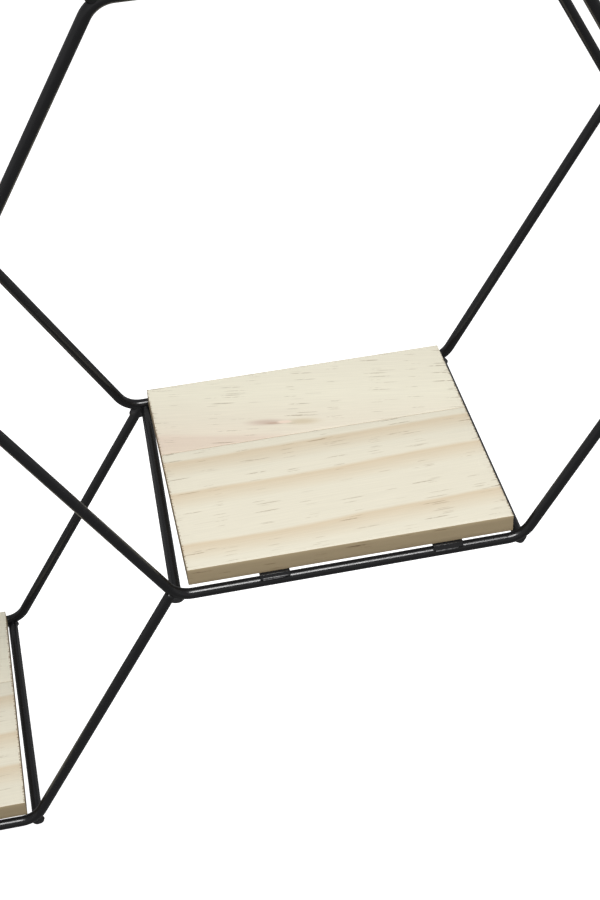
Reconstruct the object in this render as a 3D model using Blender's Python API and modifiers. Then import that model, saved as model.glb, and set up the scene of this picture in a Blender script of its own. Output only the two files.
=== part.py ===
"""Wall-hung honeycomb shelf: three hexagonal wire cells with a pine board on the bottom wire of each.

Frame: metres, +Z up, +X to the right, +Y towards the wall. The origin is on the upper hanger's back
face, so the wall is the plane Y = 0 and the whole shelf lies at Y < 0.
"""

import math

import bmesh
import bpy
from mathutils import Vector

# Driving dimensions
CELL_SIDE = 0.180
DEPTH = 0.153  # front wire centre to rear wire centre
WIRE_RADIUS = 0.00275
BEND_RADIUS = 0.014
WIRE_RESOLUTION = 3  # gives each wire ten sides
GAP = 0.0003  # between neighbouring pieces

# Cross bars, welded to the outer side of the wires near each corner
BAR_SINK = 0.0024  # bar centre outside the wire's centre, so that each bar end is coped around it
BAR_SETBACK = 0.0008  # bar end inside the wire's centre

# Boards
BOARD_WIDTH = 0.1634
BOARD_DEPTH = 0.146
BOARD_THICKNESS = 0.010
BOARD_SHIFT = 0.0031  # each board sits this far right of its wire's middle
BOARD_OVERHANG = 0.0003  # its front face is this far in front of the front wire's centre
REAR_STAVE_DEPTH = 0.057
EDGE_BEVEL = 0.0004

# Tabs under the boards, with the screws that hold the boards
TAB_WIDTH = 0.015
TAB_THICKNESS = 0.0015
TAB_REACH = 0.022  # from the wire's centre to the tab's free end
TAB_LIP_START = 0.0016  # the tab turns down over the wire this far outside the wire's centre
TAB_LIP_WRAP = 48  # degrees that its lip goes round the wire from the wire's top
TAB_LIP_THICKNESS = 0.0010
TAB_BEVEL = 0.0002
TAB_SPOTS = {"left": 0.0539, "right": 0.1412}  # along the wire from its left corner
SCREW_INSET = 0.0145  # from the wire's centre
SCREW_HEAD_RADIUS = 0.0032
SCREW_HEAD_HEIGHT = 0.0020
SCREW_SHANK_RADIUS = 0.0016
SCREW_LENGTH = 0.0085  # under the head
DRIVE_RADIUS = 0.0013
DRIVE_DEPTH = 0.0011
HOLE_SIDES = 16
SCREW_SIDES = 14

# Hangers, welded under the rear top wires of the upper and right cells
HANGER_WIDTH = 0.018
HANGER_BOTTOM = -0.0205
HANGER_THICKNESS = 0.0015
HANGER_CORNER = 0.004
KEYHOLE_RADIUS = 0.0042
KEYHOLE_DROP = 0.0135  # below the origin
SLOT_RADIUS = 0.0021
SLOT_DROP = 0.0055
TOP_WIRE_Z = 0.006  # the origin is this far below the upper cell's top wire

# Places that follow from the driving dimensions
CELL_RISE = math.sqrt(3) * CELL_SIDE  # flat to flat
REAR_Y = -(WIRE_RADIUS + GAP)
FRONT_Y = REAR_Y - DEPTH
TAB_BOTTOM = WIRE_RADIUS + GAP
TAB_TOP = TAB_BOTTOM + TAB_THICKNESS
BOARD_BOTTOM = TAB_TOP + GAP

# Each cell is named by the place (X, Z) of its bottom left corner, as in a regular honeycomb
UPPER = Vector((-CELL_SIDE / 2, TOP_WIRE_Z - CELL_RISE))
CELLS = {
    "upper": UPPER,
    "lower": UPPER + Vector((0, -CELL_RISE)),
    "right": UPPER + Vector((1.5 * CELL_SIDE, -CELL_RISE / 2)),
}

# The wires are bent by hand. These corners lie this far from the regular place (X, Z).
CORNER_ERRORS = {
    ("front", "right", 0): Vector((0.0053, -0.0010)),
    ("front", "lower", 0): Vector((0.0080, 0.0090)),
    ("rear", "lower", 0): Vector((0.0080, 0.0090)),
    ("front", "lower", 1): Vector((0.0067, 0.0090)),
    ("rear", "lower", 1): Vector((0.0096, 0.0090)),
}
# Where each cell's bottom wires begin, for the bars, tabs and board that they carry
FLOORS = {
    "upper": CELLS["upper"],
    "lower": CELLS["lower"] + CORNER_ERRORS["rear", "lower", 0],
    "right": CELLS["right"],
}

# A bottom bar's distance from the end of its cell's floor, at the front and at the rear
BOTTOM_BARS = {
    ("right", "left"): (0.0050, 0.0102),
    ("right", "right"): (0.0010, 0.0010),
    ("lower", "left"): (0.0060, 0.0060),
    ("lower", "right"): (0.0005, 0.0027),
    ("upper", "left"): (0.0060, 0.0060),
    ("upper", "right"): (0.0045, 0.0045),
}
TOP_BAR_INSET = 0.0045
# Where the lower rods start on the right cell's bend, from its corner (X, Z)
LOWER_ROD_START = {"front": Vector((0.0030, 0.0020)), "rear": Vector((0.0078, -0.0005))}

PLANES = {"front": FRONT_Y, "rear": REAR_Y}
POWDER_BLACK = (0.012, 0.012, 0.013)
PINE = (0.80, 0.70, 0.52)
ZINC = (0.55, 0.55, 0.56)


# ---------------------------------------------------------------- scene helpers
def clear_scene():
    for thing in list(bpy.data.objects):
        bpy.data.objects.remove(thing)


def new_collection(name):
    group = bpy.data.collections.new(name)
    bpy.context.scene.collection.children.link(group)
    return group


def material(name, colour, roughness, metallic):
    made = bpy.data.materials.new(name)
    made.use_nodes = True
    shader = made.node_tree.nodes["Principled BSDF"]
    shader.inputs["Base Color"].default_value = (*colour, 1.0)
    shader.inputs["Roughness"].default_value = roughness
    shader.inputs["Metallic"].default_value = metallic
    return made


def place(thing, name, group, finish=None):
    """Names an object, and moves it into one collection with one material."""
    thing.name = name
    thing.data.name = name
    for old in list(thing.users_collection):
        old.objects.unlink(thing)
    group.objects.link(thing)
    if finish:
        thing.data.materials.clear()
        thing.data.materials.append(finish)
    return thing


def as_cutter(thing, name):
    place(thing, name, CUTTERS)
    thing.hide_render = True
    thing.display_type = "WIRE"
    return thing


def cut(thing, cutter):
    step = thing.modifiers.new("cut " + cutter.name, "BOOLEAN")
    step.operation = "DIFFERENCE"
    step.solver = "EXACT"
    step.object = cutter


def soften(thing, width, segments=2):
    step = thing.modifiers.new("edges", "BEVEL")
    step.width = width
    step.segments = segments
    step.limit_method = "ANGLE"
    step.angle_limit = math.radians(40)


def box(low, high):
    low, high = Vector(low), Vector(high)
    bpy.ops.mesh.primitive_cube_add(size=1, location=(low + high) / 2)
    made = bpy.context.object
    made.scale = high - low
    bpy.ops.object.transform_apply(location=False, rotation=False, scale=True)
    return made


def upright_cylinder(centre, radius, length):
    bpy.ops.mesh.primitive_cylinder_add(
        vertices=HOLE_SIDES, radius=radius, depth=length, location=centre
    )
    return bpy.context.object


# ---------------------------------------------------------------- wire paths
def corner_arc(before, corner, after, steps=4):
    """Points of the bend of BEND_RADIUS that rounds a corner, in the plane of the wire (X, Z)."""
    to_before = (before - corner).normalized()
    to_after = (after - corner).normalized()
    half = to_before.angle(to_after) / 2
    inward = (to_before + to_after).normalized()
    centre = corner + inward * (BEND_RADIUS / math.sin(half))
    start = corner + to_before * (BEND_RADIUS / math.tan(half)) - centre
    finish = corner + to_after * (BEND_RADIUS / math.tan(half)) - centre
    turn = start.angle_signed(finish)
    heading = math.atan2(start.y, start.x)
    points = []
    for i in range(steps + 1):
        angle = heading - turn * i / steps
        points.append(centre + BEND_RADIUS * Vector((math.cos(angle), math.sin(angle))))
    return points


def bent_path(corners, closed):
    if closed:
        count = len(corners)
        path = []
        for i in range(count):
            path += corner_arc(corners[i - 1], corners[i], corners[(i + 1) % count])
        return path
    path = [corners[0]]
    for before, corner, after in zip(corners, corners[1:], corners[2:]):
        path += corner_arc(before, corner, after)
    return path + [corners[-1]]


def wire(points, radius, closed=False):
    """A round wire through 3-D points."""
    curve = bpy.data.curves.new("wire", "CURVE")
    curve.dimensions = "3D"
    curve.bevel_depth = radius
    curve.bevel_resolution = WIRE_RESOLUTION
    curve.use_fill_caps = True
    spline = curve.splines.new("POLY")
    spline.points.add(len(points) - 1)
    for knot, point in zip(spline.points, points):
        knot.co = (*point, 1)
    spline.use_cyclic_u = closed
    return mesh_of_curve(curve)


def mesh_of_curve(curve):
    """The curve's solid as a mesh object, with its caps welded on so that it can be cut."""
    guide = bpy.data.objects.new("guide", curve)
    bpy.context.scene.collection.objects.link(guide)
    bpy.context.view_layer.update()
    evaluated = guide.evaluated_get(bpy.context.evaluated_depsgraph_get())
    mesh = bpy.data.meshes.new_from_object(evaluated)
    made = bpy.data.objects.new("solid", mesh)
    made.matrix_world = guide.matrix_world
    bpy.data.objects.remove(guide)
    weld_points(mesh)
    mesh.shade_smooth()
    mesh.set_sharp_from_angle(angle=math.radians(40))
    return made


def weld_points(mesh):
    work = bmesh.new()
    work.from_mesh(mesh)
    bmesh.ops.remove_doubles(work, verts=work.verts, dist=0.00001)
    bmesh.ops.recalc_face_normals(work, faces=work.faces)
    work.to_mesh(mesh)
    work.free()


def corners_of(cell, plane="rear"):
    """The six corners of a cell, from its bottom left one, anticlockwise."""
    across, rise = CELL_SIDE / 2, CELL_RISE / 2
    steps = [
        (0, 0),
        (CELL_SIDE, 0),
        (CELL_SIDE + across, rise),
        (CELL_SIDE, 2 * rise),
        (0, 2 * rise),
        (-across, rise),
    ]
    corners = [CELLS[cell] + Vector(step) for step in steps]
    for number in range(6):
        corners[number] += CORNER_ERRORS.get((plane, cell, number), Vector((0, 0)))
    return corners


def bend_apex(cell, corner):
    """Where the middle of a wire's bend lies: a little inside the sharp corner of its cell."""
    sharp = corners_of(cell)[corner]
    middle = CELLS[cell] + Vector((CELL_SIDE / 2, CELL_RISE / 2))
    return sharp + (middle - sharp).normalized() * BEND_RADIUS * (2 / math.sqrt(3) - 1)


def rod_corners(kind, plane):
    """The corners that each of the three bent rods of one plane goes through.

    The ring is closed. The other two start and end on the bend of a neighbour.
    """
    right, lower, upper = [corners_of(cell, plane) for cell in ("right", "lower", "upper")]
    if kind == "ring":
        return right
    if kind == "lower_rod":
        start = CELLS["right"] + LOWER_ROD_START[plane]
        return [start, lower[1], lower[0], lower[5], lower[4], bend_apex("right", 5)]
    return [bend_apex("lower", 4), upper[5], upper[4], upper[3], bend_apex("right", 4)]


def make_rod(kind, plane, radius, name, group, finish=None):
    closed = kind == "ring"
    path = bent_path(rod_corners(kind, plane), closed)
    points = [(spot.x, PLANES[plane], spot.y) for spot in path]
    return place(wire(points, radius, closed), name, group, finish)


# ---------------------------------------------------------------- wire frame
def rod_cutters():
    """Each bent rod with GAP around it, to cope the ends of the wires that are welded to it."""
    cutters = {}
    for plane in PLANES:
        for kind in ("ring", "lower_rod", "upper_rod"):
            name = f"around_{plane}_{kind}"
            around = make_rod(kind, plane, WIRE_RADIUS + GAP, name, CUTTERS)
            cutters[plane, kind] = as_cutter(around, name)
    return cutters


def build_rods(cutters, finish):
    for plane in PLANES:
        make_rod("ring", plane, WIRE_RADIUS, plane + "_ring", PARTS, finish)
        lower = make_rod("lower_rod", plane, WIRE_RADIUS, plane + "_lower_rod", PARTS, finish)
        cut(lower, cutters[plane, "ring"])
        upper = make_rod("upper_rod", plane, WIRE_RADIUS, plane + "_upper_rod", PARTS, finish)
        cut(upper, cutters[plane, "ring"])
        cut(upper, cutters[plane, "lower_rod"])


def bar_places():
    """Each cross bar's name, with its front and rear places (X, Z), outside the wires it joins."""
    places = {}
    for (cell, side), insets in BOTTOM_BARS.items():
        left = side == "left"
        corner = FLOORS[cell] + Vector((0 if left else CELL_SIDE, -BAR_SINK))
        ends = [corner + Vector((inset if left else -inset, 0)) for inset in insets]
        places[f"bar_{cell}_bottom_{side}"] = ends
    for cell in ("right", "upper"):
        for side, number, way in (("left", 4, 1), ("right", 3, -1)):
            spot = corners_of(cell)[number] + Vector((way * TOP_BAR_INSET, BAR_SINK))
            places[f"bar_{cell}_top_{side}"] = [spot, spot]
    for cell, number, way in (("right", 2, 1), ("lower", 5, -1), ("upper", 5, -1)):
        spot = bend_apex(cell, number) + Vector((way * BAR_SINK, 0))
        places[f"bar_{cell}_side"] = [spot, spot]
    return places


def build_bars(cutters, finish):
    front_y, rear_y = FRONT_Y + BAR_SETBACK, REAR_Y - BAR_SETBACK
    for name, (front, rear) in bar_places().items():
        points = [(front.x, front_y, front.y), (rear.x, rear_y, rear.y)]
        bar = place(wire(points, WIRE_RADIUS), name, PARTS, finish)
        for cutter in cutters.values():
            cut(bar, cutter)


# ---------------------------------------------------------------- boards, tabs and screws
def seat_places():
    """Each tab's name ending, the wire point above which it sits, and its way into the cell (+1, -1)."""
    seats = {}
    for cell, corner in FLOORS.items():
        for plane, way in (("front", 1), ("rear", -1)):
            for side, along in TAB_SPOTS.items():
                spot = Vector((corner.x + along, PLANES[plane], corner.y))
                seats[f"{cell}_{plane}_{side}"] = (spot, way)
    return seats


def outline(loops, thickness, name):
    """A flat piece from closed loops of (x, y) points. A loop inside another is a hole."""
    curve = bpy.data.curves.new(name, "CURVE")
    curve.dimensions = "2D"
    curve.fill_mode = "BOTH"
    curve.extrude = thickness / 2
    for loop in loops:
        spline = curve.splines.new("POLY")
        spline.points.add(len(loop) - 1)
        for knot, (x, y) in zip(spline.points, loop):
            knot.co = (x, y, 0, 1)
        spline.use_cyclic_u = True
    return mesh_of_curve(curve)


def arc(centre, radius, start, finish, steps):
    """Points on an arc, with angles in degrees."""
    points = []
    for i in range(steps + 1):
        angle = math.radians(start + (finish - start) * i / steps)
        points.append((centre[0] + radius * math.cos(angle), centre[1] + radius * math.sin(angle)))
    return points


def tab_profile():
    """A tab's side view: x runs into the cell and y up, from the centre of the wire it sits on."""
    inner = TAB_BOTTOM
    end_angle = 90 + TAB_LIP_WRAP
    wrap = arc((0, 0), inner, end_angle, 90, 4)
    lip_tip = arc((0, 0), inner + TAB_LIP_THICKNESS, end_angle, end_angle, 1)[:1]
    return wrap + [(TAB_REACH, TAB_BOTTOM), (TAB_REACH, TAB_TOP), (-TAB_LIP_START, TAB_TOP)] + lip_tip


def build_tabs(finish):
    for ending, (spot, way) in seat_places().items():
        tab = place(outline([tab_profile()], TAB_WIDTH, "tab"), "tab_" + ending, PARTS, finish)
        tab.rotation_euler = (math.pi / 2, 0, way * math.pi / 2)
        tab.location = spot
        middle = spot + Vector((0, way * SCREW_INSET, TAB_TOP))
        hole = upright_cylinder(middle, SCREW_SHANK_RADIUS + GAP, 4 * TAB_THICKNESS)
        cut(tab, as_cutter(hole, "hole_" + ending))
        soften(tab, TAB_BEVEL, 1)


def build_staves(finish):
    """Each board is two staves of pine, glued along their length."""
    seats = seat_places()
    front_y = FRONT_Y - BOARD_OVERHANG
    rear_y = front_y + BOARD_DEPTH
    joint_y = rear_y - REAR_STAVE_DEPTH
    spans = {"front": (front_y, joint_y - GAP / 2), "rear": (joint_y + GAP / 2, rear_y)}
    for cell, corner in FLOORS.items():
        left = corner.x + (CELL_SIDE - BOARD_WIDTH) / 2 + BOARD_SHIFT
        bottom = corner.y + BOARD_BOTTOM
        for plane, (near_y, far_y) in spans.items():
            low = (left, near_y, bottom)
            high = (left + BOARD_WIDTH, far_y, bottom + BOARD_THICKNESS)
            stave = place(box(low, high), f"stave_{cell}_{plane}", PARTS, finish)
            soften(stave, EDGE_BEVEL, 1)
            for side in TAB_SPOTS:
                spot, way = seats[f"{cell}_{plane}_{side}"]
                foot = spot + Vector((0, way * SCREW_INSET, TAB_BOTTOM))
                length = 2 * (SCREW_LENGTH + GAP)
                pilot = upright_cylinder(foot, SCREW_SHANK_RADIUS + GAP, length)
                cut(stave, as_cutter(pilot, f"pilot_{cell}_{plane}_{side}"))


def screw_profile():
    """Half a pan-head screw, from its tip to its drive recess: (radius, height over the head)."""
    return [
        (0, SCREW_LENGTH),
        (0.5 * SCREW_SHANK_RADIUS, SCREW_LENGTH - 0.0016),
        (SCREW_SHANK_RADIUS, SCREW_LENGTH - 0.0032),
        (SCREW_SHANK_RADIUS, 0),
        (SCREW_HEAD_RADIUS, 0),
        (SCREW_HEAD_RADIUS, -0.4 * SCREW_HEAD_HEIGHT),
        (0.75 * SCREW_HEAD_RADIUS, -0.9 * SCREW_HEAD_HEIGHT),
        (DRIVE_RADIUS, -SCREW_HEAD_HEIGHT),
        (0.6 * DRIVE_RADIUS, DRIVE_DEPTH - SCREW_HEAD_HEIGHT),
        (0, DRIVE_DEPTH - SCREW_HEAD_HEIGHT),
    ]


def screw_mesh():
    """The screw, turned around its axis with its head down."""
    profile = bpy.data.meshes.new("screw_profile")
    points = [(radius, 0, height) for radius, height in screw_profile()]
    profile.from_pydata(points, [(i, i + 1) for i in range(len(points) - 1)], [])
    turned = bpy.data.objects.new("screw", profile)
    bpy.context.scene.collection.objects.link(turned)
    turn = turned.modifiers.new("turn", "SCREW")
    turn.steps = turn.render_steps = SCREW_SIDES
    turn.use_merge_vertices = True
    turn.merge_threshold = 0.00001
    bpy.context.view_layer.update()
    mesh = bpy.data.meshes.new_from_object(
        turned.evaluated_get(bpy.context.evaluated_depsgraph_get())
    )
    bpy.data.objects.remove(turned)
    weld_points(mesh)
    mesh.shade_smooth()
    mesh.set_sharp_from_angle(angle=math.radians(40))
    return mesh


def build_screws(finish):
    shared = screw_mesh()
    shared.materials.append(finish)
    for ending, (spot, way) in seat_places().items():
        screw = bpy.data.objects.new("screw_" + ending, shared)
        screw.location = spot + Vector((0, way * SCREW_INSET, TAB_BOTTOM - GAP))
        PARTS.objects.link(screw)


# ---------------------------------------------------------------- hangers
def keyhole():
    """A round hole for a screw's head under a slot for its shank."""
    meet = math.degrees(math.asin(SLOT_RADIUS / KEYHOLE_RADIUS))
    top = arc((0, -SLOT_DROP), SLOT_RADIUS, 0, 180, 8)
    return top + arc((0, -KEYHOLE_DROP), KEYHOLE_RADIUS, 90 + meet, 450 - meet, 20)


def hanger_outline():
    """The hanger's plate from the wall side, with its two lower corners rounded."""
    side = HANGER_WIDTH / 2
    inner = side - HANGER_CORNER
    low = HANGER_BOTTOM + HANGER_CORNER
    left = arc((-inner, low), HANGER_CORNER, 180, 270, 5)
    right = arc((inner, low), HANGER_CORNER, 270, 360, 5)
    return left + right + [(side, TOP_WIRE_Z), (-side, TOP_WIRE_Z)]


def build_hangers(cutters, finish):
    """A plate under the middle of each top rear wire, scribed to the wire and flush with the wall."""
    wires = {"upper": "upper_rod", "right": "ring"}
    for cell, kind in wires.items():
        plate = place(
            outline([hanger_outline(), keyhole()], HANGER_THICKNESS, "hanger"),
            "hanger_" + cell,
            PARTS,
            finish,
        )
        middle_x = CELLS[cell].x + CELL_SIDE / 2
        top_z = CELLS[cell].y + CELL_RISE
        plate.rotation_euler = (math.pi / 2, 0, 0)
        plate.location = (middle_x, -HANGER_THICKNESS / 2, top_z - TOP_WIRE_Z)
        cut(plate, cutters["rear", kind])


def build():
    steel = material("black powder coat", POWDER_BLACK, 0.42, 0.0)
    pine = material("pine", PINE, 0.55, 0.0)
    zinc = material("zinc-plated steel", ZINC, 0.35, 1.0)
    cutters = rod_cutters()
    build_rods(cutters, steel)
    build_bars(cutters, steel)
    build_tabs(steel)
    build_staves(pine)
    build_screws(zinc)
    build_hangers(cutters, steel)


clear_scene()
PARTS = new_collection("honeycomb_shelf")
CUTTERS = new_collection("cutters")
build()
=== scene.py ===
"""The looks of a wall-hung honeycomb shelf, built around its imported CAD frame.

Metres, +Z up, +X right, +Y towards the wall. Sizes repeat the part's own driving dimensions, and
places come from the frame's nodes.
"""

import math

import bmesh
import bpy
from mathutils import Matrix, Quaternion, Vector, noise


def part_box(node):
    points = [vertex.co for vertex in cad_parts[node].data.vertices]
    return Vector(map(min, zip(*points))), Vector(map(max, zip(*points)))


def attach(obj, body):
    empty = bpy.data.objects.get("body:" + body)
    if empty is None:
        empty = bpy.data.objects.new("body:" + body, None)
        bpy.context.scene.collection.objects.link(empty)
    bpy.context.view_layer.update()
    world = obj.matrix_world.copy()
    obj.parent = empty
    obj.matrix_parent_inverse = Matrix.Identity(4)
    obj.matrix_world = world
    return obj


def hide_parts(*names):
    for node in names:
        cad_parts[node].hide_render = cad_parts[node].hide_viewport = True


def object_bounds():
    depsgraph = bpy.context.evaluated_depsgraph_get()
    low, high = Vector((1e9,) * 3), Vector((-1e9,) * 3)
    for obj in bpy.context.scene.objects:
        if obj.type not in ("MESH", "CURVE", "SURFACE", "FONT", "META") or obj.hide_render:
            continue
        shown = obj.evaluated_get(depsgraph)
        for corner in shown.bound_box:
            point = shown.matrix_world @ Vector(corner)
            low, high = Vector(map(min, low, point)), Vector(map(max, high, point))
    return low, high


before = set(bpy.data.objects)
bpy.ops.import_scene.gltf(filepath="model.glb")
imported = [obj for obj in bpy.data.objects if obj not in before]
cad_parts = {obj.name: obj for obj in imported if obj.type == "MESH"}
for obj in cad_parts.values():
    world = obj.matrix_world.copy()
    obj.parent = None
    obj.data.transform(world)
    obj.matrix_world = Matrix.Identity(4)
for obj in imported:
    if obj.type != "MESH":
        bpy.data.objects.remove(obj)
CAD_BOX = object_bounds()

MM = 0.001

# ---------------------------------------------------------------- sizes
CELL_SIDE = 180 * MM
CELL_RISE = math.sqrt(3) * CELL_SIDE  # flat to flat
WIRE_RADIUS = 2.75 * MM
BEND_RADIUS = 14 * MM
WIRE_SIDES = 32
BEND_STEPS = 14

# The wires are bent by hand. These corners lie this far from the regular place (X, Z).
CORNER_ERRORS = {
    ("front", "right", 0): (5.3 * MM, -1.0 * MM),
    ("front", "lower", 0): (8.0 * MM, 9.0 * MM),
    ("rear", "lower", 0): (8.0 * MM, 9.0 * MM),
    ("front", "lower", 1): (6.7 * MM, 9.0 * MM),
    ("rear", "lower", 1): (9.6 * MM, 9.0 * MM),
}
# Where the lower rods start on the right cell's bend, from its corner (X, Z)
LOWER_ROD_START = {"front": (3.0 * MM, 2.0 * MM), "rear": (7.8 * MM, -0.5 * MM)}

# Weld beads: the ellipsoids' radii (X, Y, Z), and where those at the lower rods' starts sit,
# from the right cell's corner (X, Z)
BAR_WELD = (3.4 * MM, 2.5 * MM, 2.9 * MM)
HANGER_WELD = (3.2 * MM, 0.6 * MM, 0.9 * MM)
ROD_WELDS = {
    "front": ((4.6 * MM, -1.6 * MM), (4.6 * MM, 2.5 * MM, 3.4 * MM)),
    "rear": ((6.6 * MM, -4.6 * MM), (5.6 * MM, 2.5 * MM, 4.0 * MM)),
}
END_REACH = 0.6 * MM  # how far a bar runs past its solid's ends, and how far its beads sit back

# Tabs: a plate on top of the wire, with a lip welded down over the wire's outer side
TAB_WIDTH = 15 * MM
TAB_BOTTOM = 3.05 * MM
TAB_TOP = 4.55 * MM
TAB_REACH = 22 * MM
SCREW_INSET = 14.5 * MM

# Screws
HEAD_RADIUS = 3.2 * MM
HEAD_HEIGHT = 2.0 * MM
SHANK_RADIUS = 1.6 * MM
SCREW_LENGTH = 8.5 * MM

# Hangers
HANGER_THICKNESS = 1.5 * MM
HANGER_SIDE = 9 * MM
HANGER_BOTTOM = -20.5 * MM
HANGER_CORNER = 4 * MM
HANGER_TOP = 6 * MM
KEYHOLE_RADIUS = 4.2 * MM
KEYHOLE_DROP = 13.5 * MM
SLOT_RADIUS = 2.1 * MM
SLOT_DROP = 5.5 * MM

# Boards
BOARD_WIDTH = 163.4 * MM
EDGE_ROUNDING = 0.35 * MM
GLUE_LINE = 0.13 * MM  # each stave is this much deeper than its solid, so that the two meet

# The camera's lens, place and attitude
CAMERA_PLACE = (0.1457, -0.7663, 0.1338)
CAMERA_AZIMUTH = -9.66
CAMERA_ELEVATION = 39.87
CAMERA_ROLL = -2.91
CAMERA_LENS = 69.75

FLOOR_SIZE = 60
FLOOR_DROP = 0.45  # from the shelf's lowest point
LIGHT_TARGET = (0.2, -0.08, -0.4)
LIGHT_OFFSET = (-0.05, -0.95, 2.1)
LIGHT_SIZE = (1.3, 0.9)
LIGHT_POWER = 70
# The sky's grey level from straight down (0) to straight up (1)
SKY_LEVELS = [(0.0, 0.22), (0.46, 0.22), (0.50, 0.42), (0.62, 0.42), (0.78, 0.26), (1.0, 0.26)]

COLLECTION = bpy.data.collections.new("honeycomb_shelf_looks")
bpy.context.scene.collection.children.link(COLLECTION)


# ---------------------------------------------------------------- places, from the frame
def middle_of(node):
    """The centre of a CAD node's box."""
    low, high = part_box(node)
    return (low + high) / 2


PLANES = {"front": middle_of("front_ring").y, "rear": middle_of("rear_ring").y}
RING_MIDDLE = middle_of("rear_ring")
RIGHT = Vector((RING_MIDDLE.x - CELL_SIDE / 2, RING_MIDDLE.z - CELL_RISE / 2))
CELLS = {
    "right": RIGHT,
    "upper": RIGHT + Vector((-1.5 * CELL_SIDE, CELL_RISE / 2)),
    "lower": RIGHT + Vector((-1.5 * CELL_SIDE, -CELL_RISE / 2)),
}
FLOOR_HEIGHTS = {cell: corner.y for cell, corner in CELLS.items()}
FLOOR_HEIGHTS["lower"] += CORNER_ERRORS["rear", "lower", 0][1]


def corners_of(cell, plane="rear"):
    """The six sharp corners (X, Z) of a cell, from its bottom left one, anticlockwise."""
    across, rise = CELL_SIDE / 2, CELL_RISE / 2
    steps = [
        (0, 0),
        (CELL_SIDE, 0),
        (CELL_SIDE + across, rise),
        (CELL_SIDE, 2 * rise),
        (0, 2 * rise),
        (-across, rise),
    ]
    corners = [CELLS[cell] + Vector(step) for step in steps]
    for number in range(6):
        corners[number] += Vector(CORNER_ERRORS.get((plane, cell, number), (0, 0)))
    return corners


def bend_apex(cell, corner):
    """Where the middle of a wire's bend lies, a little inside the sharp corner of its cell."""
    sharp = corners_of(cell)[corner]
    middle = CELLS[cell] + Vector((CELL_SIDE / 2, CELL_RISE / 2))
    return sharp + (middle - sharp).normalized() * BEND_RADIUS * (2 / math.sqrt(3) - 1)


def bar_line(node):
    """The centres of a cross bar's front and rear ends, from its corner points near each end."""
    points = [vertex.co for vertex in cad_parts[node].data.vertices]
    ends = []
    for end_y in (min(p.y for p in points), max(p.y for p in points)):
        near = [p for p in points if abs(p.y - end_y) < 8 * MM]
        x = (min(p.x for p in near) + max(p.x for p in near)) / 2
        z = (min(p.z for p in near) + max(p.z for p in near)) / 2
        ends.append(Vector((x, end_y, z)))
    return ends


# ---------------------------------------------------------------- node helpers
def fill_ramp(ramp, stops):
    """Gives a new colour ramp its (place, colour) stops."""
    while len(ramp.elements) < len(stops):
        ramp.elements.new(0.5)
    for element, (place, colour) in zip(ramp.elements, stops):
        element.position = place
        element.color = (*colour, 1)


class Nodes:
    """A short way to write a material's node tree."""

    def __init__(self, material):
        material.use_nodes = True
        self.tree = material.node_tree
        self.shader = self.tree.nodes["Principled BSDF"]

    def link(self, source, target):
        if isinstance(source, bpy.types.NodeSocket):
            self.tree.links.new(source, target)
        else:
            target.default_value = source

    def node(self, kind, output=0, settings=None, **inputs):
        made = self.tree.nodes.new(kind)
        for name, value in (settings or {}).items():
            setattr(made, name, value)
        for name, value in inputs.items():
            key = int(name[1:]) if name[0] == "i" and name[1:].isdigit() else name.replace("_", " ")
            self.link(value, made.inputs[key])
        return made.outputs[output]

    def math(self, operation, first, second=0.0, third=0.0, clamp=False):
        settings = {"operation": operation, "use_clamp": clamp}
        return self.node("ShaderNodeMath", 0, settings, i0=first, i1=second, i2=third)

    def steps(self, value, low, high, out_low=0.0, out_high=1.0):
        """value mapped smoothly from low..high to out_low..out_high."""
        settings = {"interpolation_type": "SMOOTHSTEP"}
        return self.node(
            "ShaderNodeMapRange", 0, settings, i0=value, i1=low, i2=high, i3=out_low, i4=out_high
        )

    def noise(self, vector, scale, detail=3.0, roughness=0.5):
        inputs = {"Vector": vector, "Scale": scale, "Detail": detail, "Roughness": roughness}
        return self.node("ShaderNodeTexNoise", 0, None, **inputs)

    def stretched(self, coords, scale, turn=0.0, shift=(0, 0, 0)):
        """Coordinates turned about Z by -turn, then scaled axis by axis."""
        turned = self.node(
            "ShaderNodeVectorRotate", 0, {"rotation_type": "Z_AXIS"}, Vector=coords, Angle=-turn
        )
        moved = self.node("ShaderNodeVectorMath", 0, {"operation": "ADD"}, i0=turned, i1=shift)
        return self.node("ShaderNodeVectorMath", 0, {"operation": "MULTIPLY"}, i0=moved, i1=scale)

    def ramp(self, value, stops):
        """A colour ramp over a value, from (place, colour) stops."""
        made = self.tree.nodes.new("ShaderNodeValToRGB")
        fill_ramp(made.color_ramp, stops)
        self.link(value, made.inputs["Fac"])
        return made.outputs["Color"]

    def mix(self, share, first, second, blend="MIX"):
        made = self.tree.nodes.new("ShaderNodeMix")
        made.data_type = "RGBA"
        made.blend_type = blend
        self.link(share, made.inputs["Factor"])
        self.link(first if not isinstance(first, tuple) else (*first, 1), made.inputs["A"])
        self.link(second if not isinstance(second, tuple) else (*second, 1), made.inputs["B"])
        return made.outputs["Result"]

    def bump(self, height, strength, distance):
        made = self.tree.nodes.new("ShaderNodeBump")
        made.inputs["Strength"].default_value = strength
        made.inputs["Distance"].default_value = distance
        self.link(height, made.inputs["Height"])
        self.link(made.outputs["Normal"], self.shader.inputs["Normal"])


def linear(*srgb):
    """A colour given as 0-255 screen values, as the shader's linear values."""
    made = []
    for value in srgb:
        share = value / 255
        made.append(share / 12.92 if share <= 0.04045 else ((share + 0.055) / 1.055) ** 2.4)
    return tuple(made)


def shaded(*srgb, light=1.25):
    """The surface colour that shows as this screen colour where the key light falls on it."""
    return tuple(value / light for value in linear(*srgb))


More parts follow.
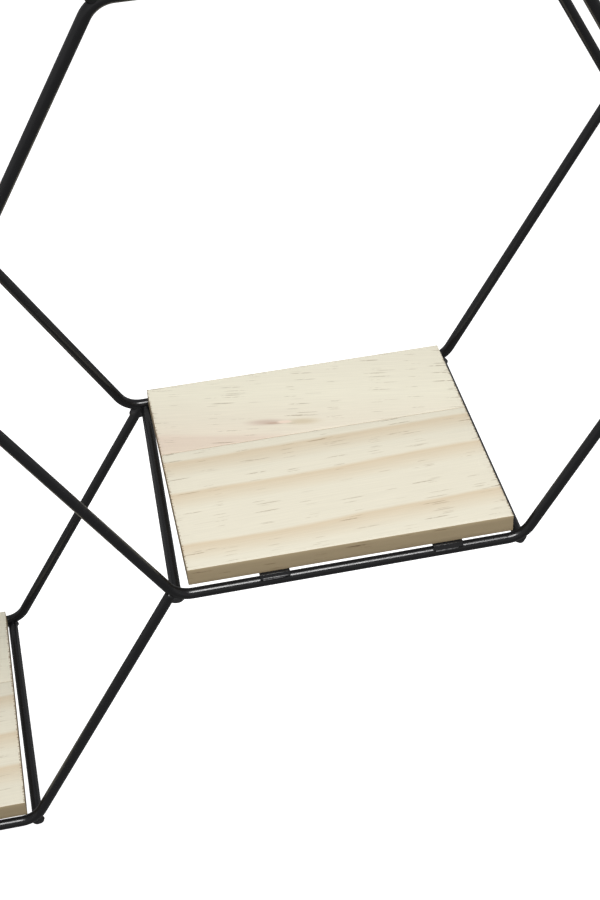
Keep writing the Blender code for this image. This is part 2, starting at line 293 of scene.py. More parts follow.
# ---------------------------------------------------------------- steel materials
def powder_coat(name, base, roughness):
    """Satin powder coat: near black, with a fine orange peel and slightly uneven gloss."""
    material = bpy.data.materials.new(name)
    nodes = Nodes(material)
    coords = nodes.node("ShaderNodeTexCoord", 3)
    cloud = nodes.noise(coords, 90, 4)
    colour = nodes.mix(cloud, tuple(0.8 * c for c in base), tuple(1.25 * c for c in base))
    nodes.link(colour, nodes.shader.inputs["Base Color"])
    gloss = nodes.steps(nodes.noise(coords, 420, 3), 0.3, 0.7, roughness - 0.05, roughness + 0.07)
    nodes.link(gloss, nodes.shader.inputs["Roughness"])
    nodes.shader.inputs["Specular IOR Level"].default_value = 0.5
    nodes.bump(nodes.noise(coords, 1600, 2), 0.04, 0.3 * MM)
    return material


def weld_metal(name, dark, light, roughness):
    """A weld under the same coat: rippled, mottled, with brighter spots, partly worn bare; on the
    tabs' light grey flat welds the brightness is also a painted sheen.
    """
    material = bpy.data.materials.new(name)
    nodes = Nodes(material)
    coords = nodes.node("ShaderNodeTexCoord", 3)
    mottle = nodes.noise(coords, 700, 4, 0.65)
    share = nodes.steps(mottle, 0.35, 0.68)
    nodes.link(nodes.mix(share, dark, light), nodes.shader.inputs["Base Color"])
    nodes.link(
        nodes.steps(mottle, 0.3, 0.7, roughness + 0.1, roughness - 0.08),
        nodes.shader.inputs["Roughness"],
    )
    nodes.bump(mottle, 0.35, 0.25 * MM)
    return material


def zinc_plate():
    """Bright zinc with a faint cloud in its colour and gloss."""
    material = bpy.data.materials.new("zinc_plate")
    nodes = Nodes(material)
    coords = nodes.node("ShaderNodeTexCoord", 3)
    cloud = nodes.noise(coords, 500, 4)
    colour = nodes.mix(cloud, (0.46, 0.46, 0.48), (0.66, 0.65, 0.62))
    nodes.link(colour, nodes.shader.inputs["Base Color"])
    nodes.shader.inputs["Metallic"].default_value = 1.0
    nodes.link(nodes.steps(cloud, 0.3, 0.7, 0.25, 0.42), nodes.shader.inputs["Roughness"])
    nodes.bump(nodes.noise(coords, 3000, 2), 0.1, 0.1 * MM)
    return material


# ---------------------------------------------------------------- pine
PALE = (227, 221, 202)
HONEY = (216, 200, 173)
REAR_PALE = (236, 231, 211)
PINK = (227, 211, 193)
STREAK = (128, 106, 78)
# Painted shade: the boards' edge and end faces are darkened and warmed by this factor, standing in
# for the shade they lie in under the overhead light.
PAINTED_SHADE_TINT = (0.62, 0.52, 0.39)
RINGS_START = 57.0  # the growth rings' range and softness, in mm from the board's back
RINGS_END = 150.0
RING_FADE = 13.0


def ring_stops(edges):
    """Colour stops for growth rings: each turns honey at its rear edge, then fades forward."""
    span = RINGS_END - RINGS_START
    halfway = tuple((a + b) / 2 for a, b in zip(HONEY, PALE))
    stops = [(0.0, shaded(*PALE))]
    for edge in edges:
        place = (edge - RINGS_START) / span
        stops.append((place - 1.6 / span, shaded(*PALE)))
        stops.append((place + 0.6 / span, shaded(*HONEY)))
        stops.append((place + 0.5 * RING_FADE / span, shaded(*halfway)))
        stops.append((place + RING_FADE / span, shaded(*PALE)))
    return stops


def front_stave_colour(nodes, across, down, edges):
    """Wide flat-sawn rings that run along the board and climb a little towards its right end."""
    climb = nodes.steps(across, 40.0, 165.0, 0.0, 4.4)
    depth = nodes.steps(down, 60.0, 90.0, 0.3, 1.0)
    place = nodes.math("ADD", down, nodes.math("MULTIPLY", climb, depth))
    span = RINGS_END - RINGS_START
    share = nodes.math("MULTIPLY_ADD", place, 1 / span, -RINGS_START / span, clamp=True)
    return nodes.ramp(share, ring_stops(edges))


def rear_stave_colour(nodes, across, down, slope):
    """Pale wood with slanted grain that turns pink towards the glue line."""
    slant = nodes.math("SUBTRACT", down, nodes.math("MULTIPLY", across, slope))
    share = nodes.math("MULTIPLY_ADD", slant, 1 / 110.0, 50.0 / 110.0, clamp=True)
    stops = [
        (0.00, shaded(231, 225, 206)),
        (0.50, shaded(*REAR_PALE)),
        (0.72, shaded(232, 224, 205)),
        (0.81, shaded(233, 223, 204)),
        (0.84, shaded(*PINK)),
        (1.00, shaded(225, 210, 191)),
    ]
    return nodes.ramp(share, stops)


def spindle(nodes, colour, across, down, place, slope):
    """A small cut-through knot: a slanted lens, pink brown on its left and ochre on its right."""
    dx = nodes.math("SUBTRACT", across, place[0])
    dy = nodes.math("SUBTRACT", down, place[1])
    cosine, sine = math.cos(math.atan(slope)), math.sin(math.atan(slope))
    along = nodes.math(
        "ADD", nodes.math("MULTIPLY", dx, cosine), nodes.math("MULTIPLY", dy, sine)
    )
    aside = nodes.math(
        "SUBTRACT", nodes.math("MULTIPLY", dy, cosine), nodes.math("MULTIPLY", dx, sine)
    )

    def lens(length, width, shift=0.0, lift=0.0):
        a = nodes.math("DIVIDE", nodes.math("SUBTRACT", along, shift), length)
        b = nodes.math("DIVIDE", nodes.math("SUBTRACT", aside, lift), width)
        squares = nodes.math("ADD", nodes.math("MULTIPLY", a, a), nodes.math("MULTIPLY", b, b))
        return nodes.math("SQRT", squares)

    brown = nodes.steps(lens(15.0, 3.8, -9.0, -0.6), 1.0, 0.1, 0.0, 0.9)
    ochre = nodes.steps(lens(14.0, 4.0, 10.5, 0.2), 1.0, 0.1, 0.0, 0.8)
    rim = nodes.steps(lens(8.0, 1.5, -4.4, 0.5), 1.0, 0.2, 0.0, 0.7)
    core = nodes.steps(lens(5.0, 1.5, 0.8, -0.2), 1.0, 0.5, 0.0, 0.95)
    colour = nodes.mix(ochre, colour, shaded(212, 197, 168))
    colour = nodes.mix(brown, colour, shaded(208, 188, 172))
    colour = nodes.mix(rim, colour, shaded(190, 163, 143))
    return nodes.mix(core, colour, shaded(240, 220, 202))


def streaks(nodes, coords, turn, seed, size, share):
    """Short dark resin lines along the grain: one stretched cell in so many holds one."""
    length, width = size
    stretched = nodes.stretched(coords, (1 / length, 1 / width, 1.0), turn, (seed, seed, 0))
    cells = nodes.tree.nodes.new("ShaderNodeTexVoronoi")
    cells.voronoi_dimensions = "2D"
    cells.inputs["Scale"].default_value = 1.0
    nodes.link(stretched, cells.inputs["Vector"])
    near = nodes.steps(cells.outputs["Distance"], 0.19, 0.11)
    chosen = nodes.node("ShaderNodeSeparateColor", 0, None, Color=cells.outputs["Color"])
    drawn = nodes.steps(chosen, share - 0.02, share + 0.02, 1.0, 0.0)
    strength = nodes.steps(chosen, 0.0, share, 1.0, 0.45)
    broken = nodes.steps(nodes.noise(nodes.stretched(coords, (260, 1500, 300)), 1.0), 0.36, 0.5)
    solid = nodes.math("MULTIPLY", near, strength)
    return nodes.math("MULTIPLY", solid, nodes.math("MULTIPLY", drawn, broken))


def torn_fibre_shade_ticks(nodes, coords, across):
    """Small dark ticks where the saw tore the wood along its two sawn ends: torn fibres, drawn dark
    as painted shade.
    """
    half = BOARD_WIDTH / MM / 2
    centred = nodes.math("ABSOLUTE", nodes.math("SUBTRACT", across, half))
    near = nodes.steps(centred, half - 1.1, half - 0.3)
    torn = nodes.steps(nodes.noise(nodes.stretched(coords, (250, 900, 250)), 1.0), 0.50, 0.58)
    return nodes.math("MULTIPLY", nodes.math("MULTIPLY", near, torn), 0.8)


def pine(name, stave, side, seed, edges, knot):
    """Pale pine. side is face, edge or end, for how the saw went through the grain; the edge and
    end faces are also darkened with painted shade.
    """
    material = bpy.data.materials.new(name)
    nodes = Nodes(material)
    coords = nodes.node("ShaderNodeTexCoord", 3)
    split = nodes.tree.nodes.new("ShaderNodeSeparateXYZ")
    nodes.link(coords, split.inputs[0])
    across = nodes.math("MULTIPLY", split.outputs["X"], 1000.0)
    down = nodes.math("MULTIPLY", split.outputs["Y"], -1000.0)
    lean = nodes.math("MULTIPLY", split.outputs["Z"], -450.0)
    sway = nodes.noise(nodes.stretched(coords, (14, 40, 30), 0, (seed, 0, 0)), 1.0, 2)
    sway = nodes.math("MULTIPLY_ADD", sway, 3.0, -1.5)
    ruffle = nodes.noise(nodes.stretched(coords, (60, 600, 300), 0, (0, seed, 0)), 1.0, 3)
    ruffle = nodes.math("MULTIPLY_ADD", ruffle, 1.6, -0.8)
    place = nodes.math("ADD", nodes.math("ADD", down, lean), nodes.math("ADD", sway, ruffle))

    grain_turn = 0.02 if stave == "front" else -0.17
    if stave == "front":
        colour = front_stave_colour(nodes, across, place, edges)
    else:
        colour = rear_stave_colour(nodes, across, place, 0.24)
        colour = spindle(nodes, colour, across, down, knot, 0.17)

    fibre = nodes.stretched(coords, (35, 1500, 500), grain_turn, (0, 0, seed))
    fibre = nodes.noise(fibre, 1.0, 4, 0.6)
    shade = nodes.steps(fibre, 0.3, 0.7, 0.955, 1.02)
    flat = coords
    if side == "edge":
        quarter = {"rotation_type": "X_AXIS"}
        flat = nodes.node("ShaderNodeVectorRotate", 0, quarter, Vector=coords, Angle=math.pi / 2)
    lines = streaks(nodes, flat, grain_turn, seed, (0.040, 0.0021), 0.28)
    fine = streaks(nodes, flat, grain_turn, seed + 3.7, (0.022, 0.0013), 0.20)
    strength = 0.58 if side == "face" else 0.85
    drawn = nodes.math("MAXIMUM", lines, nodes.math("MULTIPLY", fine, 0.75))
    drawn = nodes.math("MULTIPLY", drawn, strength)
    colour = nodes.mix(1.0, colour, shade, "MULTIPLY")
    colour = nodes.mix(drawn, colour, shaded(*STREAK))
    if side == "face":
        # Torn fibres at the sawn ends, painted dark as the shade they lie in.
        colour = nodes.mix(torn_fibre_shade_ticks(nodes, coords, across), colour, shaded(*STREAK))
    else:
        # Painted shade: the edge and end faces get a fixed darker, warmer tint.
        colour = nodes.mix(1.0, colour, PAINTED_SHADE_TINT, "MULTIPLY")
    nodes.link(colour, nodes.shader.inputs["Base Color"])
    nodes.link(nodes.steps(fibre, 0.3, 0.7, 0.62, 0.5), nodes.shader.inputs["Roughness"])
    nodes.shader.inputs["Specular IOR Level"].default_value = 0.3
    relief = nodes.math("SUBTRACT", nodes.math("MULTIPLY", fibre, 0.4), lines)
    nodes.bump(relief, 0.25 if side == "face" else 0.5, 0.2 * MM)
    return material


# ---------------------------------------------------------------- mesh helpers
def add_piece(name, mesh, nodes, materials=(), place=(0, 0, 0), spin=0.0):
    """A visible piece that stands for CAD nodes, riding on the shelf's one body."""
    for material in materials:
        mesh.materials.append(material)
    made = bpy.data.objects.new(name, mesh)
    made.location = place
    made.rotation_euler = (0, 0, spin)
    COLLECTION.objects.link(made)
    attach(made, "root")
    if nodes:
        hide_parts(*nodes)
    return made


def smooth(mesh, angle):
    """Smooth shading with sharp edges above an angle in degrees."""
    mesh.shade_smooth()
    mesh.set_sharp_from_angle(angle=math.radians(angle))
    return mesh


def evaluated(thing):
    """A mesh copy of an object with its modifiers applied. The object itself is removed."""
    bpy.context.view_layer.update()
    source = thing.evaluated_get(bpy.context.evaluated_depsgraph_get())
    mesh = bpy.data.meshes.new_from_object(source)
    data = thing.data
    bpy.data.objects.remove(thing)
    if isinstance(data, bpy.types.Curve):
        bpy.data.curves.remove(data)
    work = bmesh.new()
    work.from_mesh(mesh)
    bmesh.ops.remove_doubles(work, verts=work.verts, dist=0.002 * MM)
    bmesh.ops.recalc_face_normals(work, faces=work.faces)
    work.to_mesh(mesh)
    work.free()
    mesh.materials.clear()
    return mesh


def guide(data):
    """A helper object for building a mesh. evaluated() removes it again."""
    made = bpy.data.objects.new("guide", data)
    bpy.context.scene.collection.objects.link(made)
    return made


# ---------------------------------------------------------------- wires
def corner_arc(before, corner, after):
    """Points of the bend of BEND_RADIUS that rounds a corner of a path (X, Z)."""
    to_before = (before - corner).normalized()
    to_after = (after - corner).normalized()
    half = to_before.angle(to_after) / 2
    centre = corner + (to_before + to_after).normalized() * (BEND_RADIUS / math.sin(half))
    start = corner + to_before * (BEND_RADIUS / math.tan(half)) - centre
    finish = corner + to_after * (BEND_RADIUS / math.tan(half)) - centre
    turn = start.angle_signed(finish)
    heading = math.atan2(start.y, start.x)
    points = []
    for i in range(BEND_STEPS + 1):
        angle = heading - turn * i / BEND_STEPS
        points.append(centre + BEND_RADIUS * Vector((math.cos(angle), math.sin(angle))))
    return points


def bent_path(corners, closed):
    """A path (X, Z) through corners, with each inner corner bent round."""
    path = [] if closed else [corners[0]]
    count = len(corners)
    for i in range(count) if closed else range(1, count - 1):
        path += corner_arc(corners[i - 1], corners[i], corners[(i + 1) % count])
    return path if closed else path + [corners[-1]]


def domed_ends(points, radius):
    """The path's points with a thickness share each, so that its two ends are round."""
    steps = [1.0, 0.92, 0.75, 0.5, 0.25]
    first, last = points[0], points[-1]
    inward = (points[1] - first).normalized()
    outward = (points[-2] - last).normalized()
    start = [(first + inward * radius * (1 - s), math.sqrt(1 - s * s)) for s in steps]
    finish = [(last + outward * radius * (1 - s), math.sqrt(1 - s * s)) for s in reversed(steps)]
    inner = [(first + inward * radius, 1.0)] + [(p, 1.0) for p in points[1:-1]]
    return start + inner + [(last + outward * radius, 1.0)] + finish


def wire_mesh(points, closed=False):
    """A round wire through 3-D points, with round ends where it is open."""
    knots = [(p, 1.0) for p in points] if closed else domed_ends(points, 0.7 * WIRE_RADIUS)
    curve = bpy.data.curves.new("wire", "CURVE")
    curve.dimensions = "3D"
    curve.bevel_depth = WIRE_RADIUS
    curve.bevel_resolution = WIRE_SIDES // 2 - 2
    curve.use_fill_caps = True
    spline = curve.splines.new("POLY")
    spline.points.add(len(knots) - 1)
    for knot, (point, thickness) in zip(spline.points, knots):
        knot.co = (*point, 1)
        knot.radius = max(thickness, 0.02)
    spline.use_cyclic_u = closed
    return smooth(evaluated(guide(curve)), 60)


def build_rods(coat):
    """The closed ring and the two open rods of each plane."""
    for plane, y in PLANES.items():
        right, lower, upper = [corners_of(cell, plane) for cell in ("right", "lower", "upper")]
        paths = {
            "ring": bent_path(right, True),
            "lower_rod": bent_path(
                [
                    CELLS["right"] + Vector(LOWER_ROD_START[plane]),
                    lower[1],
                    lower[0],
                    lower[5],
                    lower[4],
                    bend_apex("right", 5),
                ],
                False,
            ),
            "upper_rod": bent_path(
                [bend_apex("lower", 4), upper[5], upper[4], upper[3], bend_apex("right", 4)], False
            ),
        }
        for kind, path in paths.items():
            points = [Vector((spot.x, y, spot.y)) for spot in path]
            node = f"{plane}_{kind}"
            mesh = wire_mesh(points, kind == "ring")
            add_piece(node + "_wire", mesh, [node], [coat])


def lump(centre, radii, seed):
    """A weld bead: an ellipsoid with soft ripples, cut back to stay inside the CAD box."""
    work = bmesh.new()
    bmesh.ops.create_icosphere(work, subdivisions=4, radius=1)
    for vertex in work.verts:
        way = vertex.co.normalized()
        swell = 1 + 0.13 * noise.noise(way * 1.4 + Vector((seed, 0, 0)))
        swell += 0.05 * noise.noise(way * 4.5 + Vector((0, seed, 0)))
        scaled = Vector([r * c for r, c in zip(radii, way * swell)])
        spot = centre + scaled
        vertex.co = [min(max(c, low), high) for c, low, high in zip(spot, *CAD_BOX)]
    mesh = bpy.data.meshes.new("bead")
    work.to_mesh(mesh)
    work.free()
    mesh.shade_smooth()
    return mesh


def joined(name, meshes):
    """One mesh from several."""
    work = bmesh.new()
    for mesh in meshes:
        work.from_mesh(mesh)
        bpy.data.meshes.remove(mesh)
    made = bpy.data.meshes.new(name)
    work.to_mesh(made)
    work.free()
    made.shade_smooth()
    return made


def build_rod_welds(weld):
    """The welds that fill the corner between the ring, a lower rod's start and a cross bar."""
    for plane, (offset, radii) in ROD_WELDS.items():
        spot = CELLS["right"] + Vector(offset)
        bead = lump(Vector((spot.x, PLANES[plane], spot.y)), radii, 60 + radii[0] / MM)
        add_piece(f"{plane}_lower_rod_weld", bead, [], [weld])


def build_bars(coat, weld):
    """The cross bars, each with a weld bead at both ends."""
    names = sorted(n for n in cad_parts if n.startswith("bar_"))
    for seed, name in enumerate(names):
        front, rear = bar_line(name)
        way = (rear - front).normalized()
        mesh = wire_mesh([front - way * END_REACH, rear + way * END_REACH])
        add_piece(name + "_wire", mesh, [name], [coat])
        for plane, end in (("front", front), ("rear", rear)):
            outward = -1 if plane == "front" else 1
            middle = end - Vector((0, outward * END_REACH, 0))
            bead = lump(middle, BAR_WELD, seed * 7.3 + outward)
            add_piece(f"{name}_{plane}_weld", bead, [], [weld])


# ---------------------------------------------------------------- tabs
def arc(centre, radius, start, finish, steps):
    """Points on an arc, with angles in degrees."""
    points = []
    for i in range(steps + 1):
        angle = math.radians(start + (finish - start) * i / steps)
        points.append((centre[0] + radius * math.cos(angle), centre[1] + radius * math.sin(angle)))
    return points


def plate_mesh(loops, thickness, bevel):
    """A flat piece from closed loops of (x, y) points, with slightly eased edges."""
    curve = bpy.data.curves.new("plate", "CURVE")
    curve.dimensions = "2D"
    curve.fill_mode = "BOTH"
    curve.extrude = thickness / 2
    for loop in loops:
        spline = curve.splines.new("POLY")
        spline.points.add(len(loop) - 1)
        for knot, (x, y) in zip(spline.points, loop):
            knot.co = (x, y, 0, 1)
        spline.use_cyclic_u = True
    thing = guide(evaluated(guide(curve)))
    ease = thing.modifiers.new("edges", "BEVEL")
    ease.width = bevel
    ease.segments = 2
    ease.limit_method = "ANGLE"
    ease.angle_limit = math.radians(40)
    return evaluated(thing)


def tab_profile():
    """A tab's side view: x runs into the cell and y up, from the centre of the wire it sits on."""
    wrap = arc((0, 0), WIRE_RADIUS - 0.1 * MM, 138, 90, 8)
    tip = arc((0, 0), WIRE_RADIUS + 1.1 * MM, 138, 138, 1)[:1]
    top = [(TAB_REACH, TAB_BOTTOM), (TAB_REACH, TAB_TOP), (-1.6 * MM, TAB_TOP)]
    return wrap + [(0.8 * MM, TAB_BOTTOM)] + top + tip


def tab_places():
    """Each tab's name ending, the wire point above which it sits, and its way into the cell."""
    places = {}
    for name in sorted(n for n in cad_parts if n.startswith("tab_")):
        cell, plane = name.split("_")[1:3]
        middle = middle_of(name)
        spot = Vector((middle.x, PLANES[plane], FLOOR_HEIGHTS[cell]))
        places[name[4:]] = (spot, 1 if plane == "front" else -1)
    return places


def build_tabs(coat, weld):
    """The plates under the boards, each with the weld that holds it on its wire."""
    profile = tab_profile()
    for ending, (spot, way) in tab_places().items():
        mesh = smooth(plate_mesh([profile], TAB_WIDTH, 0.2 * MM), 30)
        attitude = Matrix.Rotation(way * math.pi / 2, 4, "Z") @ Matrix.Rotation(math.pi / 2, 4, "X")
        mesh.transform(Matrix.Translation(spot) @ attitude)
        add_piece(f"tab_{ending}_plate", mesh, ["tab_" + ending], [coat])
        add_piece(
            f"tab_{ending}_weld", weld_pad(ending, spot, way), [], [weld]
        )


def weld_pad(ending, spot, way):
    """The flat weld on a tab's lip: a lens on the left tabs, a slanted block on the right."""
    half = 6.6 * MM
    if ending.endswith("left"):
        upper = [(half * math.cos(t), 1.3 * MM * math.sin(t)) for t in (0.0, 0.5, 1.1, 1.8, 2.5)]
        lower = [(-half * 0.92, -1.2 * MM), (0, -1.35 * MM), (4 * MM, -0.9 * MM)]
        loop = upper + [(-half, 0.2 * MM)] + lower
    else:
        loop = [(half, 1.2 * MM), (-half, 1.2 * MM), (-half, -1.5 * MM), (4.6 * MM, -1.3 * MM)]
    mesh = plate_mesh([loop], 0.5 * MM, 0.2 * MM)
    lean = math.radians(47)
    outward = Vector((0, -way * math.cos(lean), math.sin(lean)))
    centre = spot + outward * (WIRE_RADIUS + 1.0 * MM)
    side = Vector((1, 0, 0))
    up = outward.cross(side) * (1 if way > 0 else -1)
    side = up.cross(outward)
    attitude = Matrix((side, up, outward)).transposed().to_4x4()
    mesh.transform(Matrix.Translation(centre) @ attitude)
    for vertex in mesh.vertices:
        proud = way * (spot.y - vertex.co.y)
        vertex.co.y = spot.y - way * min(proud, WIRE_RADIUS + 0.1 * MM)
    return smooth(mesh, 30)


# ---------------------------------------------------------------- boards
def graded(length, step, edge):
    """Cut places along a length: one at each rounded edge's start, and even steps between."""
    count = max(1, round((length - 2 * edge) / step))
    inner = [edge + (length - 2 * edge) * i / count for i in range(count + 1)]
    return [0.35 * edge] + inner + [length - 0.35 * edge]


def stave_mesh(low, high, plane, origin, seed):
    """A stave with eased edges and saw-torn ends. Its points are measured from origin."""
    low, high = Vector(low), Vector(high)
    if plane == "rear":
        low.y -= GLUE_LINE
    else:
        high.y += GLUE_LINE
    size = high - low
    work = bmesh.new()
    bmesh.ops.create_cube(work, size=1)
    bmesh.ops.scale(work, verts=work.verts, vec=size)
    bmesh.ops.translate(work, verts=work.verts, vec=(low + high) / 2)
    for axis, step in ((0, 6 * MM), (1, 1.5 * MM), (2, 2.5 * MM)):
        normal = Vector([1.0 if i == axis else 0.0 for i in range(3)])
        for cut_place in graded(size[axis], step, EDGE_ROUNDING):
            parts = work.verts[:] + work.edges[:] + work.faces[:]
            point = low + normal * cut_place
            bmesh.ops.bisect_plane(work, geom=parts, plane_co=point, plane_no=normal, dist=1e-7)
    inner_low = low + Vector((EDGE_ROUNDING,) * 3)
    inner_high = high - Vector((EDGE_ROUNDING,) * 3)
    for vertex in work.verts:
        core = Vector([min(max(c, a), b) for c, a, b in zip(vertex.co, inner_low, inner_high)])
        outward = vertex.co - core
        if sum(abs(c) > 1e-7 for c in outward) > 1:
            vertex.co = core + outward.normalized() * EDGE_ROUNDING
            tear = noise.noise(vertex.co * 900 + Vector((seed, 0, 0)))
            if abs(outward.x) > 1e-7:
                vertex.co.x -= math.copysign(0.22 * MM * max(0.0, tear), outward.x)
    bmesh.ops.translate(work, verts=work.verts, vec=-origin)
    for face in work.faces:
        normal = face.normal
        face.material_index = 2 if abs(normal.x) > 0.7 else (1 if abs(normal.y) > 0.7 else 0)
    mesh = bpy.data.meshes.new("stave")
    work.to_mesh(mesh)
    work.free()
    return smooth(mesh, 40)


# Rear edges of each board's growth rings, in mm from its back, and its knot's place
GRAINS = {
    "right": ([64.6, 89.7, 128.2], (66.8, 45.8)),
    "lower": ([70.0, 100.0, 124.0], (120.0, 30.0)),
    "upper": ([76.0, 106.0, 133.0], (40.0, 22.0)),
}


def build_boards():
    """Two staves of pine for each cell, with their grain measured from the board's rear left."""
    for number, (cell, (edges, knot)) in enumerate(GRAINS.items()):
        rear_low, rear_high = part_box(f"stave_{cell}_rear")
        origin = Vector((rear_low.x, rear_high.y, rear_high.z))
        for plane in ("front", "rear"):
            node = f"stave_{cell}_{plane}"
            low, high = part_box(node)
            seed = 1.7 * number + (0.6 if plane == "rear" else 0.0)
            mesh = stave_mesh(low, high, plane, origin, seed)
            finishes = [
                pine(f"pine_{cell}_{plane}_{side}", plane, side, seed, edges, knot)
                for side in ("face", "edge", "end")
            ]
            add_piece(node + "_wood", mesh, [node], finishes, origin)


# ---------------------------------------------------------------- screws and hangers
def screw_mesh():
    """A pan-head wood screw, head down, with a cross recess and a coarse thread."""
    profile = [
        (0, SCREW_LENGTH),
        (0.35 * MM, SCREW_LENGTH - 0.7 * MM),
        (0.75 * SHANK_RADIUS, SCREW_LENGTH - 3.0 * MM),
        (0.75 * SHANK_RADIUS, 0),
        (0.93 * HEAD_RADIUS, 0),
        (HEAD_RADIUS, -0.12 * MM),
        (HEAD_RADIUS, -0.7 * MM),
        (0.93 * HEAD_RADIUS, -1.2 * MM),
        (0.72 * HEAD_RADIUS, -1.65 * MM),
        (0.4 * HEAD_RADIUS, -0.95 * HEAD_HEIGHT),
        (0, -HEAD_HEIGHT),
    ]
    line = bpy.data.meshes.new("screw_profile")
    links = [(i, i + 1) for i in range(len(profile) - 1)]
    line.from_pydata([(r, 0, z) for r, z in profile], links, [])
    turned = guide(line)
    turn = turned.modifiers.new("turn", "SCREW")
    turn.steps = turn.render_steps = 40
    turn.use_merge_vertices = True
    turn.merge_threshold = 0.01 * MM
    body = guide(evaluated(turned))
    for number in range(2):
        work = bmesh.new()
        bmesh.ops.create_cube(work, size=1)
        size = (3.4 * MM, 0.75 * MM, 2.2 * MM)
        bmesh.ops.scale(work, verts=work.verts, vec=size)
        for vertex in work.verts:
            if vertex.co.z > 0:
                vertex.co.x *= 0.45
        quarter = Matrix.Rotation(number * math.pi / 2, 3, "Z")
        bmesh.ops.rotate(work, verts=work.verts, matrix=quarter)
        bmesh.ops.translate(work, verts=work.verts, vec=(0, 0, -HEAD_HEIGHT))
        slot_mesh = bpy.data.meshes.new("recess")
        work.to_mesh(slot_mesh)
        work.free()
        recess = guide(slot_mesh)
        cut = body.modifiers.new("recess", "BOOLEAN")
        cut.operation = "DIFFERENCE"
        cut.solver = "EXACT"
        cut.object = recess
        body = guide(evaluated(body))
        bpy.data.objects.remove(recess)
    return joined("screw", [evaluated(body), thread_mesh()])


def thread_mesh():
    """The screw's thread: a thin helix around its shank."""
    pitch, turns, steps = 1.1 * MM, 6, 24
    curve = bpy.data.curves.new("thread", "CURVE")
    curve.dimensions = "3D"
    curve.bevel_depth = 0.22 * MM
    curve.bevel_resolution = 1
    curve.use_fill_caps = True
    spline = curve.splines.new("POLY")
    count = turns * steps
    spline.points.add(count)
    for i, knot in enumerate(spline.points):
        angle = 2 * math.pi * i / steps
        radius = (SHANK_RADIUS - 0.25 * MM) * min(1.0, 1.6 * (1.02 - i / count))
        spot = (radius * math.cos(angle), radius * math.sin(angle), 0.8 * MM + pitch * i / steps)
        knot.co = (*spot, 1)
    return evaluated(guide(curve))


def build_screws(zinc):
    """One shared screw, turned differently at each tab."""
    shared = screw_mesh()
    shared.materials.append(zinc)
    smooth(shared, 35)
    for number, (ending, (spot, way)) in enumerate(tab_places().items()):
        node = "screw_" + ending
        place = spot + Vector((0, way * SCREW_INSET, TAB_BOTTOM - 0.02 * MM))
        spin = 0.9 * number
        add_piece(node + "_zinc", shared, [node], (), place, spin)


def build_hangers(coat, weld):
    """The keyhole plates, each held by two small welds."""
    meet = math.degrees(math.asin(SLOT_RADIUS / KEYHOLE_RADIUS))
    keyhole = arc((0, -SLOT_DROP), SLOT_RADIUS, 0, 180, 16)
    keyhole += arc((0, -KEYHOLE_DROP), KEYHOLE_RADIUS, 90 + meet, 450 - meet, 40)
    inner, low = HANGER_SIDE - HANGER_CORNER, HANGER_BOTTOM + HANGER_CORNER
    outline = arc((-inner, low), HANGER_CORNER, 180, 270, 10)
    outline += arc((inner, low), HANGER_CORNER, 270, 360, 10)
    outline += [(HANGER_SIDE, HANGER_TOP - 2.2 * MM), (-HANGER_SIDE, HANGER_TOP - 2.2 * MM)]
    for cell in ("upper", "right"):
        node = "hanger_" + cell
        mesh = smooth(plate_mesh([outline, keyhole], HANGER_THICKNESS, 0.2 * MM), 30)
        centre = Vector(
            (
                CELLS[cell].x + CELL_SIDE / 2,
                -HANGER_THICKNESS / 2,
                CELLS[cell].y + CELL_RISE - HANGER_TOP,
            )
        )
        mesh.transform(Matrix.Translation(centre) @ Matrix.Rotation(math.pi / 2, 4, "X"))
        add_piece(node + "_plate", mesh, [node], [coat])
        for number, side in enumerate((-1, 1)):
            spot = centre + Vector((side * 5 * MM, -0.1 * MM, HANGER_TOP - 2.9 * MM))
            bead = lump(spot, HANGER_WELD, 40 + number + centre.x)
            add_piece(f"{node}_weld_{number}", bead, [], [weld])


# ---------------------------------------------------------------- floor, light and camera
def build_floor():
    """A plain white floor that doesn't colour the shelf."""
    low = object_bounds()[0]
    bpy.ops.mesh.primitive_plane_add(size=FLOOR_SIZE, location=(0, 0, low.z - FLOOR_DROP))
    floor = bpy.context.object
    floor.name = "floor"
    material = bpy.data.materials.new("pale_floor")
    nodes = Nodes(material)
    nodes.shader.inputs["Base Color"].default_value = (0.88, 0.88, 0.88, 1)
    nodes.shader.inputs["Roughness"].default_value = 0.9
    nodes.shader.inputs["Emission Color"].default_value = (1, 1, 1, 1)
    nodes.shader.inputs["Emission Strength"].default_value = 0.7
    floor.data.materials.append(material)
    floor.visible_diffuse = False
    floor.visible_glossy = False


def build_key_light():
    """One large soft lamp above and in front of the shelf."""
    key = bpy.data.lights.new("key_softbox", "AREA")
    key.shape = "RECTANGLE"
    key.size, key.size_y = LIGHT_SIZE
    key.energy = LIGHT_POWER
    softbox = bpy.data.objects.new("key_softbox", key)
    target = Vector(LIGHT_TARGET)
    softbox.location = target + Vector(LIGHT_OFFSET)
    softbox.rotation_mode = "QUATERNION"
    softbox.rotation_quaternion = (target - softbox.location).to_track_quat("-Z", "Y")
    bpy.context.scene.collection.objects.link(softbox)


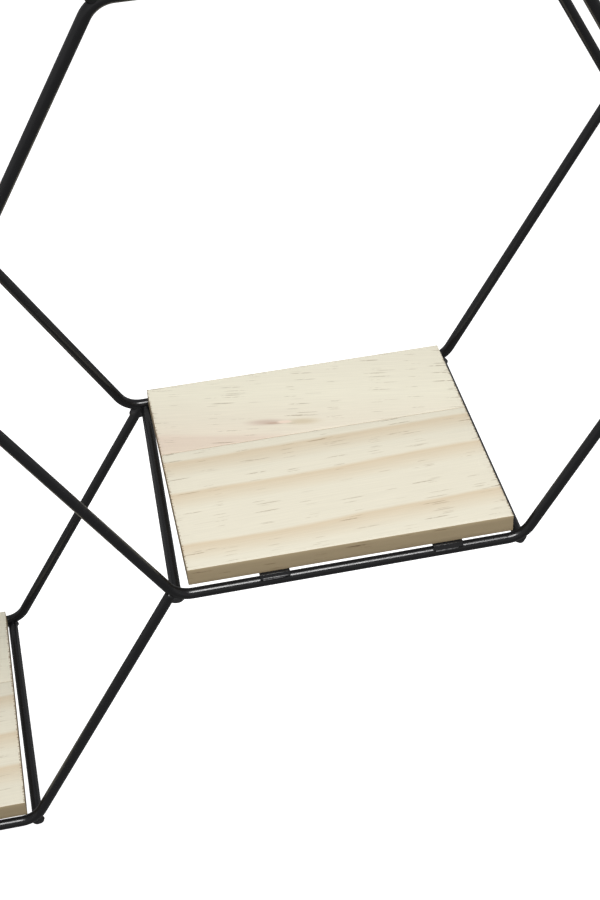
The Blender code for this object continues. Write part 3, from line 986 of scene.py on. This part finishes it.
def build_sky():
    """A grey studio all round, brightest just above the horizon."""
    world = bpy.data.worlds.new("studio")
    bpy.context.scene.world = world
    world.use_nodes = True
    tree = world.node_tree
    coords = tree.nodes.new("ShaderNodeTexCoord")
    split = tree.nodes.new("ShaderNodeSeparateXYZ")
    ramp = tree.nodes.new("ShaderNodeValToRGB")
    shift = tree.nodes.new("ShaderNodeMapRange")
    shift.inputs["From Min"].default_value = -1
    shift.inputs["From Max"].default_value = 1
    tree.links.new(coords.outputs["Generated"], split.inputs[0])
    tree.links.new(split.outputs["Z"], shift.inputs["Value"])
    tree.links.new(shift.outputs[0], ramp.inputs["Fac"])
    fill_ramp(ramp.color_ramp, [(place, (level,) * 3) for place, level in SKY_LEVELS])
    background = tree.nodes["Background"]
    tree.links.new(ramp.outputs["Color"], background.inputs["Color"])
    background.inputs["Strength"].default_value = 1.0


def build_camera():
    """The camera, with its roll about the line of sight."""
    data = bpy.data.cameras.new("camera")
    data.lens = CAMERA_LENS
    data.clip_start = 0.05
    data.clip_end = 100
    camera = bpy.data.objects.new("camera", data)
    camera.location = CAMERA_PLACE
    azimuth, elevation = math.radians(CAMERA_AZIMUTH), math.radians(CAMERA_ELEVATION)
    forward = Vector(
        (
            -math.sin(azimuth) * math.cos(elevation),
            math.cos(azimuth) * math.cos(elevation),
            -math.sin(elevation),
        )
    )
    level = forward.to_track_quat("-Z", "Y")
    camera.rotation_mode = "QUATERNION"
    camera.rotation_quaternion = level @ Quaternion((0, 0, 1), math.radians(CAMERA_ROLL))
    bpy.context.scene.collection.objects.link(camera)
    bpy.context.scene.camera = camera
    bpy.context.scene.view_settings.view_transform = "Standard"


def build():
    coat = powder_coat("black_powder_coat", (0.0062, 0.0062, 0.0070), 0.22)
    bead = weld_metal("coated_weld", (0.009, 0.009, 0.010), (0.030, 0.030, 0.032), 0.36)
    # Painted sheen: the tabs' flat welds are light grey, partly worn coat and partly the light
    # their glossy flat facet reflects, painted into the colour.
    pad = weld_metal("worn_weld_painted_sheen", (0.050, 0.050, 0.052), (0.20, 0.20, 0.205), 0.40)
    build_rods(coat)
    build_rod_welds(bead)
    build_bars(coat, bead)
    build_tabs(coat, pad)
    build_boards()
    build_screws(zinc_plate())
    build_hangers(coat, bead)
    build_floor()
    build_key_light()
    build_sky()
    build_camera()


build()
